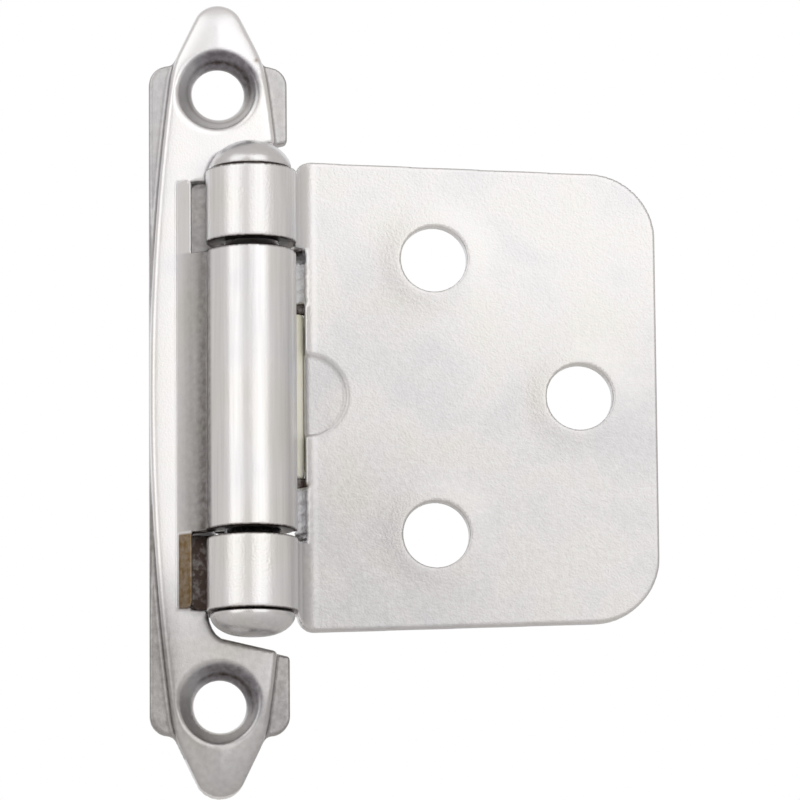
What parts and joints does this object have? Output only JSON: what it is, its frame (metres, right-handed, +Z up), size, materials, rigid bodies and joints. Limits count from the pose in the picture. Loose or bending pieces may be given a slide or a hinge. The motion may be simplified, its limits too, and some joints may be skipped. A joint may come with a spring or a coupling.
{
  "type": "self-closing hinge",
  "caption": "Face-mounted self-closing cabinet hinge: stamped frame leaf with pointed ends, flat door leaf, curled barrel on a headed pin, and a sprung nylon follower.",
  "frame": {"origin": "midway between the two frame screws, on the plane of the cabinet's face", "axes": "+Z up along the barrel, +X from the frame leaf towards the door leaf, -Y out of the cabinet towards the viewer"},
  "size_m": [0.0442, 0.0092, 0.0698],
  "materials": {
    "plated_frame": "bright nickel plating, satin",
    "plated_door": "bright nickel plating, fine grain",
    "plated_pin": "bright nickel plating",
    "natural_nylon": "natural nylon, satin",
    "spring_steel": "tempered spring steel, oiled"
  },
  "bodies": {
    "frame": {"frame_leaf": "plated_frame", "hinge_pin": "plated_pin"},
    "door": {"door_leaf": "plated_door", "nylon_follower": "natural_nylon", "closing_spring": "spring_steel"}
  },
  "joints": [
    {"name": "door_swing", "type": "hinge", "parent": "frame", "child": "door", "pos_m": [0.0026, -0.0053, 0], "axis": [0, 0, -1], "range_deg": [0, 180], "stiffness_Nm_per_rad": 0.02, "springref_deg": -17.19}
  ]
}
